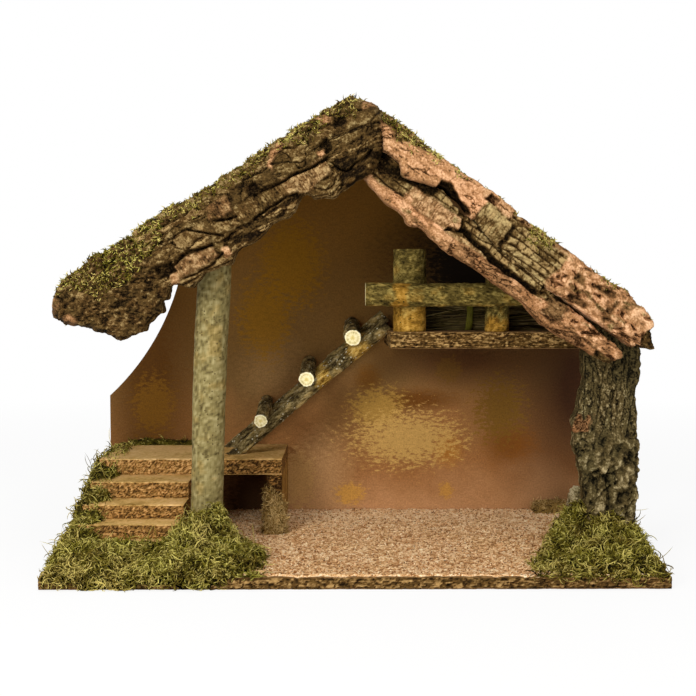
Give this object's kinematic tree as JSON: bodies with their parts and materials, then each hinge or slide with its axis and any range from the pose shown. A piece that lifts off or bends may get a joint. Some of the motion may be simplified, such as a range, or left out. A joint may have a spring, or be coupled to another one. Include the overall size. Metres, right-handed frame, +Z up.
{
  "type": "nativity stable",
  "caption": "Open-fronted nativity stable on a board base: gabled bark roof on a branch post and a cork slab, stacked stair, branch ladder and a hay loft, dressed with moss.",
  "frame": {"origin": "middle of the base's underside, on the surface that the stable stands on", "axes": "+X to the viewer's right along the open front, +Y from the open front to the back wall, +Z up"},
  "size_m": [0.4, 0.2, 0.317],
  "materials": {
    "base_chipboard": "dark stained chipboard",
    "stair_chipboard": "raw chipboard with sawn edges",
    "sawdust": "glued pinkish sawdust",
    "painted_hardboard": "matt brown paint with ochre dabs",
    "roof_hardboard": "plain brown hardboard",
    "cork_bark": "rough cork oak bark",
    "branch": "branch with its bark on",
    "brushwood": "dry brushwood",
    "band": "dry grass band",
    "moss": "dried moss",
    "sandstone": "sand-coated nugget",
    "steel": "bright wire nails"
  },
  "bodies": {
    "root": {"base_board": "base_chipboard", "step_1": "stair_chipboard", "step_2": "stair_chipboard", "step_3": "stair_chipboard", "step_4": "stair_chipboard", "landing_board": "stair_chipboard", "landing_support": "stair_chipboard", "loft_board": "stair_chipboard", "sawdust_floor": "sawdust", "back_wall": "painted_hardboard", "roof_panel_left": "roof_hardboard", "roof_panel_right": "roof_hardboard", "roof_bark_left": "cork_bark", "roof_bark_right_upper": "cork_bark", "roof_bark_right_lower": "cork_bark", "right_post": "cork_bark", "left_post": "branch", "ladder_rail_front": "branch", "ladder_rail_rear": "branch", "ladder_rung_1": "branch", "ladder_rung_2": "branch", "ladder_rung_3": "branch", "loft_post_left": "branch", "loft_post_right": "branch", "loft_rail": "branch", "hay_bundle": "brushwood", "bundle_tie": "band", "roof_moss_left": "moss", "roof_moss_right": "moss", "moss_left_front": "moss", "moss_left_flank": "moss", "moss_right": "moss", "moss_niche": "moss", "moss_landing": "moss", "moss_back": "moss", "ground_stone": "sandstone", "wall_pins": "steel", "base_nails": "steel", "loft_nails": "steel", "roof_pins": "steel"}
  },
  "joints": []
}
